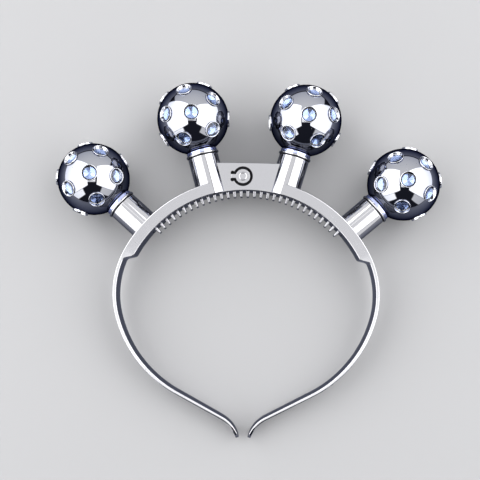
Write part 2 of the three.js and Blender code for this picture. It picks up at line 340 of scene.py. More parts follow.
class HeadbandSettings(PropertyGroup):
    """All that a user would change."""

    hoop: settings_group(HoopSizes, "Hoop", "Sizes of the hoop")
    post: settings_group(PostSizes, "Posts", "Sizes of the stems and collars")
    switch: settings_group(SwitchSizes, "Switch", "Sizes of the switch box and button")
    comb: settings_group(CombSizes, "Comb", "Sizes of the comb")
    ball: settings_group(BallSizes, "Balls", "Sizes of the balls")
    stone: settings_group(StoneSizes, "Stones", "Sizes of the stones and cups")
    finish: settings_group(Finishes, "Finishes", "Colours of the surfaces")
    stage: settings_group(StageSettings, "Stage", "Camera and lamps")


# Meshes

def new_object(name, data):
    made = bpy.data.objects.new(name, data)
    bpy.context.scene.collection.objects.link(made)
    return made


def new_mesh(name, points, faces, *materials):
    mesh = bpy.data.meshes.new(name)
    mesh.from_pydata(points, [], faces)
    for material in materials:
        mesh.materials.append(material)
    return new_object(name, mesh)


@contextmanager
def reshaped(piece):
    """A piece's mesh to edit, put back when the edit is done."""
    shape = bmesh.new()
    shape.from_mesh(piece.data)
    yield shape
    shape.to_mesh(piece.data)
    shape.free()


def weld(shape, distance):
    """Merges the points that lie within a distance, and drops the edges and faces that vanish so."""
    bmesh.ops.remove_doubles(shape, verts=shape.verts, dist=distance)
    bmesh.ops.dissolve_degenerate(shape, edges=shape.edges, dist=distance)


def new_piece(name, points, faces, *materials):
    """A closed mesh with its faces pointing outwards, as an object of the scene."""
    piece = new_mesh(name, points, faces, *materials)
    with reshaped(piece) as shape:
        weld(shape, SAME_POINT)
        bmesh.ops.recalc_face_normals(shape, faces=shape.faces)
    return piece


def settle(piece):
    """Turns a piece's modifiers into its plain mesh."""
    bpy.context.view_layer.update()
    evaluated = piece.evaluated_get(bpy.context.evaluated_depsgraph_get())
    mesh = bpy.data.meshes.new_from_object(evaluated)
    piece.modifiers.clear()
    piece.data = mesh


def carve(piece, tool, operation):
    """Joins or cuts a piece with a tool, which is used up."""
    modifier = piece.modifiers.new("Carve", "BOOLEAN")
    modifier.solver = "MANIFOLD"
    modifier.operation = operation
    modifier.material_mode = "TRANSFER"
    modifier.object = tool
    settle(piece)
    if not piece.data.polygons:
        raise RuntimeError(f"{piece.name} is empty after {operation} with {tool.name}")
    bpy.data.objects.remove(tool)


def round_edges(piece, radius, segments):
    with reshaped(piece) as shape:
        sharp = [edge for edge in shape.edges if edge.calc_face_angle(0) > SMOOTH_ANGLE]
        bmesh.ops.bevel(shape, geom=sharp, offset=radius, segments=segments, profile=0.5, affect="EDGES")
        bmesh.ops.recalc_face_normals(shape, faces=shape.faces)


def shade(piece):
    """Smooth shading that leaves flat faces flat beside their rounded edges."""
    with reshaped(piece) as shape:
        weld(shape, HAIR)
    piece.data.shade_smooth()
    piece.data.set_sharp_from_angle(angle=SMOOTH_ANGLE)
    modifier = piece.modifiers.new("Even", "WEIGHTED_NORMAL")
    modifier.mode = "FACE_AREA"
    modifier.weight = 100
    modifier.keep_sharp = True
    settle(piece)


def lay(piece, slot, *nodes):
    """Lays a finished piece in its resting place, in its nodes' stead, on the body that holds them."""
    piece.data.transform(HOOP_PLANE)
    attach(piece, "frame")
    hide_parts(*nodes)


def loft(rings):
    """Points and faces of a skin through equal rings, closed at both ends."""
    size = len(rings[0])
    points = [point for ring in rings for point in ring]
    faces = [tuple(range(size)), tuple(range(len(points) - size, len(points)))]
    for start in range(0, len(points) - size, size):
        for i in range(size):
            j = (i + 1) % size
            faces.append((start + i, start + j, start + size + j, start + size + i))
    return points, faces


def prism(outline, low, high):
    """Points and faces of an outline drawn out from one height to another."""
    return loft([[(x, y, z) for x, y in outline] for z in (low, high)])


def turned(profile, sides):
    """Points and faces of a closed profile of radius and height, turned round Y."""
    rings = []
    for step in range(sides):
        around = math.tau * step / sides
        rings.append([(r * math.sin(around), y, r * math.cos(around)) for r, y in profile])
    points, faces = loft([*rings, rings[0]])
    return points, faces[2:]


def spaced(start, end, steps):
    """Even steps from one value to another, both of them included."""
    return [start + (end - start) * i / steps for i in range(steps + 1)]


def arc(centre, radius, start, end, steps):
    """Points from one angle to another, in degrees from +X towards +Y."""
    angles = [math.radians(degrees) for degrees in spaced(start, end, steps)]
    return [(centre[0] + radius * math.cos(a), centre[1] + radius * math.sin(a)) for a in angles]


def circle(centre, radius, sides):
    return arc(centre, radius, 0, 360 - 360 / sides, sides - 1)


def rounded_box(low_x, low_y, high_x, high_y, radius, steps):
    return [
        *arc((low_x + radius, low_y + radius), radius, 180, 270, steps),
        *arc((high_x - radius, low_y + radius), radius, 270, 360, steps),
        *arc((high_x - radius, high_y - radius), radius, 0, 90, steps),
        *arc((low_x + radius, high_y - radius), radius, 90, 180, steps),
    ]


def on_arc(radius, from_middle):
    """Point at a radius and an angle in radians from the middle line."""
    return radius * math.sin(from_middle), radius * math.cos(from_middle)


def to_post(degrees):
    """Turn from the middle line to a post."""
    return Matrix.Rotation(-math.radians(degrees), 4, "Z")


def to_ball(number):
    """Turn from the middle line to a post, with the twist of the ball on it, counted from one."""
    twist = Matrix.Rotation(math.radians(BALL_TWISTS[number - 1]), 4, "Y")
    return to_post(POST_ANGLES[number - 1]) @ twist


# Materials

class Shader:
    """A material's nodes, with its Principled shader to set and link."""

    def __init__(self, name):
        self.material = bpy.data.materials.new(name)
        self.material.use_nodes = True
        self.nodes = self.material.node_tree.nodes
        self.links = self.material.node_tree.links
        self.principled = self.nodes["Principled BSDF"]
        self.place = self.nodes.new("ShaderNodeTexCoord").outputs["Object"]

    def set(self, **values):
        for name, value in values.items():
            socket = self.principled.inputs[name.replace("_", " ")]
            socket.default_value = (*value, 1) if socket.type == "RGBA" else value

    def node(self, kind, **values):
        made = self.nodes.new(kind)
        for name, value in values.items():
            made.inputs[name.replace("_", " ")].default_value = value
        return made

    def noise(self, scale, detail):
        made = self.node("ShaderNodeTexNoise", Scale=scale, Detail=detail)
        self.links.new(self.place, made.inputs["Vector"])
        return made.outputs["Fac"]

    def specks(self, scale, size):
        """One where a small pit is, and nought elsewhere."""
        cells = self.node("ShaderNodeTexVoronoi", Scale=scale)
        self.links.new(self.place, cells.inputs["Vector"])
        return self.spread(cells.outputs["Distance"], (size, size / 2), (0, 1))

    def spread(self, value, span, onto):
        """A value stretched from one span onto another."""
        made = self.node(
            "ShaderNodeMapRange", From_Min=span[0], From_Max=span[1], To_Min=onto[0], To_Max=onto[1]
        )
        self.links.new(value, made.inputs["Value"])
        return made.outputs["Result"]

    def tint(self, factor, first, second):
        """A mix of two colours, the first of which may be the output of a node."""
        made = self.nodes.new("ShaderNodeMix")
        made.data_type = "RGBA"
        if isinstance(first, bpy.types.NodeSocket):
            self.links.new(first, made.inputs[6])
        else:
            made.inputs[6].default_value = (*first, 1)
        made.inputs[7].default_value = (*second, 1)
        self.links.new(factor, made.inputs["Factor"])
        return made.outputs[2]

    def drive(self, name, value):
        self.links.new(value, self.principled.inputs[name])

    def ripple(self, *layers):
        """Bumps from pairs of a height and its depth in metres."""
        normal = None
        for height, depth in layers:
            bump = self.node("ShaderNodeBump", Strength=1, Distance=depth)
            self.links.new(height, bump.inputs["Height"])
            if normal:
                self.links.new(normal, bump.inputs["Normal"])
            normal = bump.outputs["Normal"]
        self.links.new(normal, self.principled.inputs["Normal"])


def shaded(base, share):
    return tuple(min(1, part * share) for part in base)


def plating(name, base, edge, roughness, wave_depth):
    """Bright plating over moulded plastic: faint waves, an uneven gloss and rare small pits."""
    if name in bpy.data.materials:
        return bpy.data.materials[name]
    shader = Shader(name)
    shader.set(Metallic=1, Specular_Tint=edge)
    pits = shader.specks(scale=420, size=0.07)
    shader.drive("Base Color", shader.tint(pits, base, shaded(base, PIT_SHADE)))
    smears = shader.noise(scale=260, detail=3)
    gloss = roughness * (1 - GLOSS_SPREAD), roughness * (1 + GLOSS_SPREAD)
    shader.drive("Roughness", shader.spread(smears, NOISE_SPAN, gloss))
    shader.ripple((shader.noise(scale=90, detail=1), wave_depth), (pits, -PIT_DEPTH))
    return shader.material


def chrome(finish):
    return plating("chrome_plating", finish.chrome, finish.chrome_edge, roughness=0.085, wave_depth=0.04 * MM)


def satin_chrome(finish):
    return plating("satin_plating", finish.comb, finish.chrome_edge, roughness=0.16, wave_depth=0.02 * MM)


# Painted glints: chrome tinted blue on the collars' seats, so that the balls show blue glints round their
# necks
def painted_glint_chrome(finish):
    tint, edge = finish.painted_glint_tint, finish.mirror_edge
    return plating("painted_glint_plating", tint, edge, roughness=0.10, wave_depth=0.02 * MM)


def bright_chrome(finish):
    return plating("bright_plating", finish.rim, finish.chrome_edge, roughness=0.06, wave_depth=0.01 * MM)


def mirror(finish):
    """Plating under a thin lacquer, which deepens towards the ball's limb."""
    tint, edge = finish.mirror, finish.mirror_edge
    shiny = plating("mirror_plating", tint, edge, roughness=0.035, wave_depth=0.055 * MM)
    sockets = shiny.node_tree.nodes["Principled BSDF"].inputs
    sockets["Coat Weight"].default_value = 1
    sockets["Coat IOR"].default_value = 1
    sockets["Coat Tint"].default_value = (*finish.lacquer, 1)
    return shiny


# Painted shade: a near-black, barely glossy plastic with a faint grain, put where there is only shade, in the
# cut round the button and under each collar
def painted_shade_plastic(finish):
    name = "painted_shade_dark"
    if name in bpy.data.materials:
        return bpy.data.materials[name]
    shader = Shader(name)
    shader.set(Specular_IOR_Level=0.1)
    grain = shader.noise(scale=1500, detail=2)
    shader.drive("Base Color", shader.tint(grain, finish.inside, shaded(finish.inside, share=1.8)))
    shader.drive("Roughness", shader.spread(grain, NOISE_SPAN, onto=(0.5, 0.7)))
    return shader.material


def clear_stone(finish):
    shader = Shader("clear_cut_stone")
    shader.set(Base_Color=finish.stone, Transmission_Weight=1, IOR=1.49)
    haze = shader.noise(scale=700, detail=2)
    shader.drive("Roughness", shader.spread(haze, NOISE_SPAN, onto=(0, 0.03)))
    return shader.material


def stone_foil(finish):
    shader = Shader("stone_foil")
    shader.set(Metallic=1)
    cloud = shader.noise(scale=520, detail=2)
    shader.drive("Base Color", shader.tint(cloud, finish.foil, shaded(finish.foil, share=1.35)))
    shader.drive("Roughness", shader.spread(cloud, NOISE_SPAN, onto=(0.16, 0.28)))
    return shader.material


def pale_floor(finish):
    """Pale to look at, and dimmer in what the plating reflects, as a dark ground would be."""
    shader = Shader("pale_floor")
    mottle = shader.noise(scale=9, detail=4)
    pale = shader.tint(mottle, finish.floor, shaded(finish.floor, share=0.97))
    reflected = shader.nodes.new("ShaderNodeLightPath").outputs["Is Glossy Ray"]
    shader.drive("Base Color", shader.tint(reflected, pale, finish.reflected_floor))
    shader.set(Roughness=0.75)
    return shader.material


# Geometry nodes

class Tree:
    """A tree of geometry nodes with a mesh coming in and a mesh going out."""

    def __init__(self, name, **inputs):
        self.tree = bpy.data.node_groups.new(name, "GeometryNodeTree")
        self.tree.is_modifier = True
        self.tree.interface.new_socket("Mesh", in_out="OUTPUT", socket_type="NodeSocketGeometry")
        self.tree.interface.new_socket("Mesh", in_out="INPUT", socket_type="NodeSocketGeometry")
        for label, kind in inputs.items():
            self.tree.interface.new_socket(label, in_out="INPUT", socket_type=f"NodeSocket{kind}")
        self.start = self.tree.nodes.new("NodeGroupInput").outputs
        self.end = self.tree.nodes.new("NodeGroupOutput").inputs

    def node(self, kind, settings=None, **links):
        made = self.tree.nodes.new(kind)
        for name, value in (settings or {}).items():
            setattr(made, name, value)
        for name, source in links.items():
            self.feed(made.inputs[name.replace("_", " ")], source)
        return made

    def feed(self, socket, source):
        if isinstance(source, bpy.types.NodeSocket):
            self.tree.links.new(source, socket)
        else:
            socket.default_value = source

    def math(self, operation, first, second):
        made = self.node("ShaderNodeMath", {"operation": operation})
        self.feed(made.inputs[0], first)
        self.feed(made.inputs[1], second)
        return made.outputs["Value"]

    def close(self, copies):
        """Ends the tree with real faces in the finish that the user gives."""
        real = self.node("GeometryNodeRealizeInstances", Geometry=copies)
        worn = self.node(
            "GeometryNodeSetMaterial", Geometry=real.outputs["Geometry"], Material=self.start["Finish"]
        )
        self.tree.links.new(worn.outputs["Geometry"], self.end["Mesh"])
        return self.tree


def copies_on_arc():
    """Copies of a mesh, turned step by step round the arc's centre."""
    tree = Tree("Copies on an arc", Count="Int", Pitch="Float", Finish="Material")
    index = tree.node("GeometryNodeInputIndex").outputs["Index"]
    middle = tree.math("MULTIPLY", tree.math("SUBTRACT", tree.start["Count"], 1), 0.5)
    turn = tree.math("MULTIPLY", tree.math("SUBTRACT", middle, index), tree.start["Pitch"])
    around = tree.node("ShaderNodeCombineXYZ", Z=turn).outputs["Vector"]
    rotation = tree.node("FunctionNodeEulerToRotation", Euler=around).outputs["Rotation"]
    points = tree.node("GeometryNodePoints", Count=tree.start["Count"]).outputs["Points"]
    copies = tree.node(
        "GeometryNodeInstanceOnPoints", Points=points, Instance=tree.start["Mesh"], Rotation=rotation
    )
    return tree.close(copies.outputs["Instances"])


def copies_on_ball():
    """Copies of a pattern on the mesh's points, each upright along its point's facing, with a drawn spin."""
    tree = Tree("Copies on a ball", Pattern="Object", Spin="Float", Seed="Int", Finish="Material")
    pattern = tree.node("GeometryNodeObjectInfo", Object=tree.start["Pattern"]).outputs["Geometry"]
    facing = tree.node("GeometryNodeInputNamedAttribute", {"data_type": "FLOAT_VECTOR"}, Name="facing")
    upright = tree.node(
        "FunctionNodeAlignRotationToVector", {"axis": "Z"}, Vector=facing.outputs["Attribute"]
    )
    drawn = tree.node("FunctionNodeRandomValue", {"data_type": "FLOAT"}, Seed=tree.start["Seed"])
    tree.feed(drawn.inputs[2], 0.0)
    tree.feed(drawn.inputs[3], tree.start["Spin"])
    about = tree.node("FunctionNodeAxisAngleToRotation", Axis=(0, 0, 1), Angle=drawn.outputs[1])
    spun = tree.node(
        "FunctionNodeRotateRotation",
        {"rotation_space": "LOCAL"},
        Rotation=upright.outputs["Rotation"],
        Rotate_By=about.outputs["Rotation"],
    )
    copies = tree.node(
        "GeometryNodeInstanceOnPoints",
        Points=tree.start["Mesh"],
        Instance=pattern,
        Rotation=spun.outputs["Rotation"],
    )
    return tree.close(copies.outputs["Instances"])


def grow(piece, tree, **inputs):
    """Runs a tree on a piece with these inputs and keeps its plain mesh."""
    modifier = piece.modifiers.new(tree.name, "NODES")
    modifier.node_group = tree
    for item in tree.interface.items_tree:
        if item.in_out == "INPUT" and item.name in inputs:
            modifier[item.identifier] = inputs[item.name]
    settle(piece)


# Hoop

def leg_length():
    return sum(run.get("length") or run["radius"] * math.radians(abs(run["turn"])) for run in LEG_RUNS)


def smooth(value):
    share = min(1, max(0, value))
    return share * share * (3 - 2 * share)


def leg_section(hoop, distance):
    """Thickness and depth of the leg at a distance from the housing's end."""
    whole = leg_length()
    share = distance / whole
    strip = hoop.strip_thickness + (hoop.tip_thickness - hoop.strip_thickness) * share
    past = max(0, distance - whole + hoop.tip_rounding) / hoop.tip_rounding
    rounding = TIP_END_SHARE + (1 - TIP_END_SHARE) * math.sqrt(max(0, 1 - past * past))
    step = smooth(distance / hoop.step_length)
    thickness = hoop.housing_thickness + (strip - hoop.housing_thickness) * step
    depth = (hoop.depth + (hoop.tip_depth - hoop.depth) * share) * rounding
    return thickness, depth


def half_hoop(hoop, box_front):
    """Sections from the middle line to the right tip: place, heading, thickness, front and back."""
    sections = []
    half = hoop.depth / 2
    box_reach = math.radians(POST_ANGLES[2])
    for start, end, front in ((0, box_reach, box_front), (box_reach, hoop.housing_reach, half)):
        steps = math.ceil((end - start) * hoop.housing_radius / hoop.station_gap)
        for at in spaced(start, end, steps):
            sections.append((*on_arc(hoop.housing_radius, at), -at, hoop.housing_thickness, front, -half))
    x, y, heading = sections[-1][:3]
    distance = 0
    for run in LEG_RUNS:
        turn = math.radians(run.get("turn", 0))
        run_length = run.get("length") or run["radius"] * abs(turn)
        steps = math.ceil(run_length / hoop.station_gap)
        chord = 2 * run["radius"] * math.sin(abs(turn) / steps / 2) if turn else run_length / steps
        for _ in range(steps):
            heading -= turn / steps / 2
            x += chord * math.cos(heading)
            y += chord * math.sin(heading)
            heading -= turn / steps / 2
            distance += run_length / steps
            thickness, depth = leg_section(hoop, distance)
            sections.append((x, y, heading, thickness, depth / 2, -depth / 2))
    return sections


def hoop_ring(hoop, section, side):
    """Rounded section across the strip, on the right side or the left."""
    x, y, heading, thickness, front, back = section
    radius = min(hoop.edge_radius, thickness * EDGE_SHARE)
    inward = (math.sin(heading), -math.cos(heading))
    outline = rounded_box(0, back, thickness, front, radius, CORNER_STEPS)
    return [(side * (x + depth * inward[0]), y + depth * inward[1], z) for depth, z in outline]


def hoop_solid(hoop, box_front, material):
    right = half_hoop(hoop, box_front)
    rings = [hoop_ring(hoop, section, -1) for section in reversed(right[1:])]
    rings += [hoop_ring(hoop, section, 1) for section in right]
    return new_piece("hoop_moulding", *loft(rings), material)


def post_solid(post, degrees, material):
    edge = post.top_edge
    profile = [(0, post.foot), (post.radius, post.foot)]
    profile += arc((post.radius - edge, post.top - edge), edge, 0, 90, CORNER_STEPS)
    profile += [(0, post.top)]
    stem = new_piece("post", *turned(profile, ROUND_SIDES), material)
    stem.data.transform(to_post(degrees))
    return stem


def box_solid(switch, hoop, front, material):
    """Wedge between the axes of the two middle posts."""
    slope = math.tan(math.radians(POST_ANGLES[2]))
    low, high = switch.box_foot, switch.box_top
    outline = [(-low * slope, low), (low * slope, low), (high * slope, high), (-high * slope, high)]
    box = new_piece("box", *prism(outline, -hoop.depth / 2, front), material)
    round_edges(box, switch.box_edge, segments=4)
    return box


def groove_cutter(comb, inner_radius, material):
    """Room for the comb's strip in the inside of the housing."""
    reach = comb.reach + comb.gap / inner_radius
    angles = spaced(-reach, reach, ARC_STEPS)
    floor = inner_radius + comb.thickness + comb.gap
    open_side = inner_radius - 2 * comb.tooth_length
    outline = [on_arc(floor, at) for at in angles] + [on_arc(open_side, at) for at in reversed(angles)]
    return new_piece("groove", *prism(outline, comb.back - comb.gap, comb.front + comb.gap), material)


def button_outline(switch, margin, reach, steps):
    """Disc with its tongue to the left, grown by a margin."""
    x, y = switch.button_x, switch.button_y
    outer = switch.button_radius + margin
    half = switch.tongue_half_width + margin
    meet = math.degrees(math.asin(half / outer))
    disc = arc((x, y), outer, 180 + meet, 540 - meet, steps)
    return [(x - reach, y - half), *disc, (x - reach, y + half)]


def pocket_cutters(switch, front, material):
    """Cut round the button, and the round ends of that cut beside the tongue."""
    low, high = front - switch.pocket_depth, front + switch.pocket_depth
    end = switch.tongue_reach + switch.root_gap
    outline = button_outline(switch, switch.slot_width, end, ARC_STEPS)
    cutters = [new_piece("pocket", *prism(outline, low, high), material)]
    for side in (-1, 1):
        aside = switch.tongue_half_width + switch.slot_width / 2
        middle = (switch.button_x - end + switch.slot_width / 2, switch.button_y + side * aside)
        round_end = circle(middle, switch.slot_end_radius, sides=40)
        cutters.append(new_piece("slot_end", *prism(round_end, low, high), material))
    return cutters


class HEADBAND_OT_moulding(Operator):
    """Hoop, housing, switch box and posts, one plated moulding"""

    bl_idname = "headband.moulding"
    bl_label = "Hoop moulding"

    def execute(self, context):
        settings = context.scene.headband
        hoop, switch, post = settings.hoop, settings.switch, settings.post
        plated = chrome(settings.finish)
        dark = painted_shade_plastic(settings.finish)
        front = hoop.depth / 2 - switch.box_setback
        headband = hoop_solid(hoop, front, plated)
        carve(headband, box_solid(switch, hoop, front, plated), "UNION")
        for degrees in POST_ANGLES:
            carve(headband, post_solid(post, degrees, plated), "UNION")
        inner_radius = hoop.housing_radius - hoop.housing_thickness
        carve(headband, groove_cutter(settings.comb, inner_radius, plated), "DIFFERENCE")
        # The cut's faces take the cutters' near-black finish, a painted shade for the hollow box under the
        # button
        for cutter in pocket_cutters(switch, front, dark):
            carve(headband, cutter, "DIFFERENCE")
        shade(headband)
        lay(headband, "chrome", "headband")
        return {"FINISHED"}


# Button

def bend_lines(piece, start, end, steps):
    """Cross lines along the tongue, where it bends."""
    with reshaped(piece) as shape:
        for x in spaced(start, end, steps):
            bmesh.ops.bisect_plane(
                shape,
                geom=[*shape.verts, *shape.edges, *shape.faces],
                plane_co=(x, 0, 0),
                plane_no=(1, 0, 0),
                dist=SAME_POINT,
            )


class HEADBAND_OT_button(Operator):
    """Press button: a disc with a raised ring on a bending tongue"""

    bl_idname = "headband.button"
    bl_label = "Press button"

    def execute(self, context):
        settings = context.scene.headband
        switch = settings.switch
        plated = chrome(settings.finish)
        front = settings.hoop.depth / 2 - switch.box_setback
        root = switch.tongue_reach + switch.root_gap - switch.root_line
        outline = button_outline(switch, margin=0, reach=root, steps=64)
        button = new_piece("press_button", *prism(outline, front - switch.button_thickness, front), plated)
        round_edges(button, switch.button_edge, segments=3)
        ring_profile = circle((switch.ring_radius, 0), switch.ring_height, sides=12)
        ring = new_piece("ring", *turned(ring_profile, SMALL_SIDES), plated)
        ring.data.transform(Matrix.Rotation(math.pi / 2, 4, "X"))
        ring.data.transform(Matrix.Translation((switch.button_x, switch.button_y, front)))
        carve(button, ring, "UNION")
        root_x = switch.button_x - root
        free_x = switch.button_x - switch.button_radius
        bend_lines(button, root_x, free_x, steps=8)
        shade(button)
        button.data.transform(HOOP_PLANE)
        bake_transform(button)
        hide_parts("button")
        return {"FINISHED"}


# Comb

class HEADBAND_OT_comb(Operator):
    """Toothed strip along the inside of the housing"""

    bl_idname = "headband.comb"
    bl_label = "Comb"

    def execute(self, context):
        settings = context.scene.headband
        comb, hoop = settings.comb, settings.hoop
        satin = satin_chrome(settings.finish)
        inner = hoop.housing_radius - hoop.housing_thickness
        root, tip = inner + comb.thickness / 2, inner - comb.tooth_length
        wide, narrow = comb.tooth_root / 2, comb.tooth_end / 2
        outline = [(-wide, root), (-narrow, tip), (narrow, tip), (wide, root)]
        low, high = comb.back + comb.tooth_margin, comb.front - comb.tooth_margin
        slope = (high, high - comb.tooth_slope, high - comb.tooth_slope, high)
        heights = ((low,) * len(outline), slope)
        rings = [[(*spot, z) for spot, z in zip(outline, ring, strict=True)] for ring in heights]
        teeth = new_piece("teeth", *loft(rings), satin)
        round_edges(teeth, comb.tooth_edge, segments=4)
        grow(teeth, copies_on_arc(), Count=comb.teeth, Pitch=comb.pitch, Finish=satin)
        outer = inner + comb.thickness
        section = rounded_box(inner, comb.back, outer, comb.front, comb.strip_edge, steps=2)
        bend = spaced(-comb.reach, comb.reach, ARC_STEPS)
        strip_rings = [[(*on_arc(radius, at), z) for radius, z in section] for at in bend]
        strip = new_piece("toothed_strip", *loft(strip_rings), satin)
        carve(strip, teeth, "UNION")
        shade(strip)
        lay(strip, "comb", "comb")
        return {"FINISHED"}


# Collars

class HEADBAND_OT_collars(Operator):
    """Rings between the posts and the balls"""

    bl_idname = "headband.collars"
    bl_label = "Collars"

    def execute(self, context):
        settings = context.scene.headband
        post, ball = settings.post, settings.ball
        plated = chrome(settings.finish)
        glint_tinted = painted_glint_chrome(settings.finish)
        dark = painted_shade_plastic(settings.finish)
        foot = post.top + post.seat_gap
        waist = foot + post.collar_waist
        seat_radius = ball.radius + post.seat_gap

        def seat(radius):
            return ball.arc_radius - math.sqrt(seat_radius ** 2 - radius ** 2)

        edge = post.collar_edge
        outer, lip = post.collar_radius, post.collar_lip
        lip_top = seat(lip - edge)
        seat_radii = spaced(lip - edge, post.collar_bore, steps=10)
        profile = [(post.collar_bore, foot)]
        profile += arc((outer - edge, foot + edge), edge, 270, 360, CORNER_STEPS)
        profile += arc((outer - edge, waist - edge), edge, 0, 90, CORNER_STEPS)
        profile += [(lip, waist)]
        profile += arc((lip - edge, lip_top - edge), edge, 0, 90, CORNER_STEPS)
        profile += [(radius, seat(radius)) for radius in seat_radii[1:]]
        for number, degrees in enumerate(POST_ANGLES, 1):
            collar = new_piece(f"collar_ring_{number}", *turned(profile, ROUND_SIDES), plated, glint_tinted, dark)
            # Faces above the waist take the blue of the painted glints; faces under the foot take the painted
            # shade of the gap over the post
            for face in collar.data.polygons:
                above = face.center.y > waist + edge / 2
                under = face.center.y < foot + HAIR
                face.material_index = 1 if above else 2 if under else 0
            shade(collar)
            collar.data.transform(to_post(degrees))
            lay(collar, "chrome", f"collar_{number}")
        return {"FINISHED"}


# Balls and stones, each drawn on the +Y axis of its post

def stone_seats(ball):
    """A point on the ball's skin for each stone, with the direction that it faces."""
    facings = []
    for row in STONE_ROWS:
        polar = math.radians(row["polar"])
        for turn in row["turns"]:
            right, up = on_arc(math.sin(polar), math.radians(turn))
            facings.append(Vector((right, up, math.cos(polar))))
    middle = Vector((0, ball.arc_radius, 0))
    seats = new_piece("seats", [middle + facing * ball.radius for facing in facings], [])
    attribute = seats.data.attributes.new("facing", "FLOAT_VECTOR", "POINT")
    for item, facing in zip(attribute.data, facings, strict=True):
        item.vector = facing
    return seats


def upright(points, faces):
    """The same mesh with its Y axis turned to Z."""
    return [(x, -z, y) for x, y, z in points], faces


def seat_height(stone):
    """Of the stone's band over the ball's skin, at the band's lower edge."""
    return -stone.table_depth - stone.belt


def cup_floor(stone):
    return seat_height(stone) - stone.back_depth - stone.foil - 4 * stone.fit


def cup_pattern(stone):
    """Room for a stone and its foil, wider towards the rim."""
    seat, floor = seat_height(stone), cup_floor(stone)
    slope = (stone.cup_radius - stone.seat_radius) / (stone.rim_height - seat)
    high = 3 * stone.rim_height
    mouth = stone.seat_radius + slope * (high - seat)
    profile = [(0, floor), (stone.seat_radius, floor), (stone.seat_radius, seat), (mouth, high), (0, high)]
    return new_piece("cup", *upright(*turned(profile, SMALL_SIDES)))


def rim_pattern(stone):
    """Bright bezel with the body of its cup, which reaches into the ball."""
    edge = (stone.rim_radius - stone.cup_radius) / 2
    crest = (stone.cup_radius + edge, stone.rim_height - edge)
    low = cup_floor(stone) - stone.cup_wall
    profile = [
        (0, low),
        (stone.seat_radius + stone.cup_wall, low),
        (stone.rim_radius, -2 * stone.cup_wall),
        *arc(crest, edge, 0, 180, steps=8),
        (0, stone.rim_height - edge),
    ]
    return new_piece("rim", *upright(*turned(profile, SMALL_SIDES)))


def ring_points(radius, height, number, offset):
    """Points round the stone's axis, the first one turned by a share of a step."""
    return [(*on_arc(radius, math.tau * (i + offset) / number), height) for i in range(number)]


def faceted_back(stone, drop):
    """Points of a stone's back, lowered by a drop: along its edge, at its knees and round its flat tip."""
    edge_radius = stone.seat_radius - stone.fit
    edge_height = seat_height(stone) - drop
    tip_height = edge_height - stone.back_depth
    flat_knee = stone.knee_radius * math.cos(math.pi / FACETS)
    share = (flat_knee - stone.tip_radius) / (edge_radius - stone.tip_radius)
    return [
        *ring_points(edge_radius, edge_height, 2 * FACETS, 0),
        *ring_points(stone.knee_radius, tip_height + share * stone.back_depth, FACETS, 0.5),
        *ring_points(stone.tip_radius, tip_height, FACETS, 0),
    ]


def back_facets(first):
    """Faces of a stone's back whose points start at a number: a tip with stars, kites and halves round it."""
    edge = range(first, first + 2 * FACETS)
    knee = range(edge.stop, edge.stop + FACETS)
    tip = range(knee.stop, knee.stop + FACETS)
    faces = [tuple(tip)]
    for i in range(FACETS):
        corner, between, next_corner = edge[2 * i], edge[2 * i + 1], edge[(2 * i + 2) % len(edge)]
        faces.append((tip[i], tip[(i + 1) % FACETS], knee[i]))
        faces.append((tip[i], knee[i], corner, knee[i - 1]))
        faces.append((knee[i], corner, between))
        faces.append((knee[i], between, next_corner))
    return faces


def band(first, second):
    """Faces between two edges of a stone whose points start at these numbers."""
    steps = [(i, (i + 1) % (2 * FACETS)) for i in range(2 * FACETS)]
    return [(first + i, first + j, second + j, second + i) for i, j in steps]


def stone_pattern(stone):
    """Cut stone: a flat table over a faceted back."""
    back = faceted_back(stone, 0)
    table = ring_points(stone.seat_radius - stone.fit, -stone.table_depth, 2 * FACETS, 0)
    start = len(back)
    faces = [*back_facets(0), *band(0, start), tuple(range(start, start + len(table)))]
    return new_piece("stone", back + table, faces)


def foil_pattern(stone):
    """Thin bright foil that follows the stone's back."""
    upper = faceted_back(stone, stone.fit)
    lower = faceted_back(stone, stone.fit + stone.foil)
    start = len(upper)
    return new_piece("foil", upper + lower, [*back_facets(0), *back_facets(start), *band(0, start)])


def ball_shell(ball, name, material):
    """Hollow ball, open at its neck."""
    profile = []
    for radius, start, end, steps in (
        (ball.radius - ball.wall, -90, 90, 24),
        (ball.radius, 90, -90, 72),
    ):
        neck = math.degrees(math.acos(ball.neck / radius))
        first, last = max(start, -neck), max(end, -neck)
        profile += arc((0, ball.arc_radius), radius, first, last, steps)
    return new_piece(name, *turned(profile, ROUND_SIDES), material)


def round_normals(piece, ball):
    """Exact normals on the round skin, so that its reflections run true past the cups."""
    mesh = piece.data
    middle = Vector((0, ball.arc_radius, 0))
    normals = [Vector(corner.vector) for corner in mesh.corner_normals]
    skin = 0.01 * MM
    for face in mesh.polygons:
        spots = [mesh.vertices[i].co - middle for i in face.vertices]
        if all(abs(spot.length - ball.radius) < skin for spot in spots):
            for corner, spot in zip(face.loop_indices, spots, strict=True):
                normals[corner] = spot.normalized()
    mesh.normals_split_custom_set(normals)


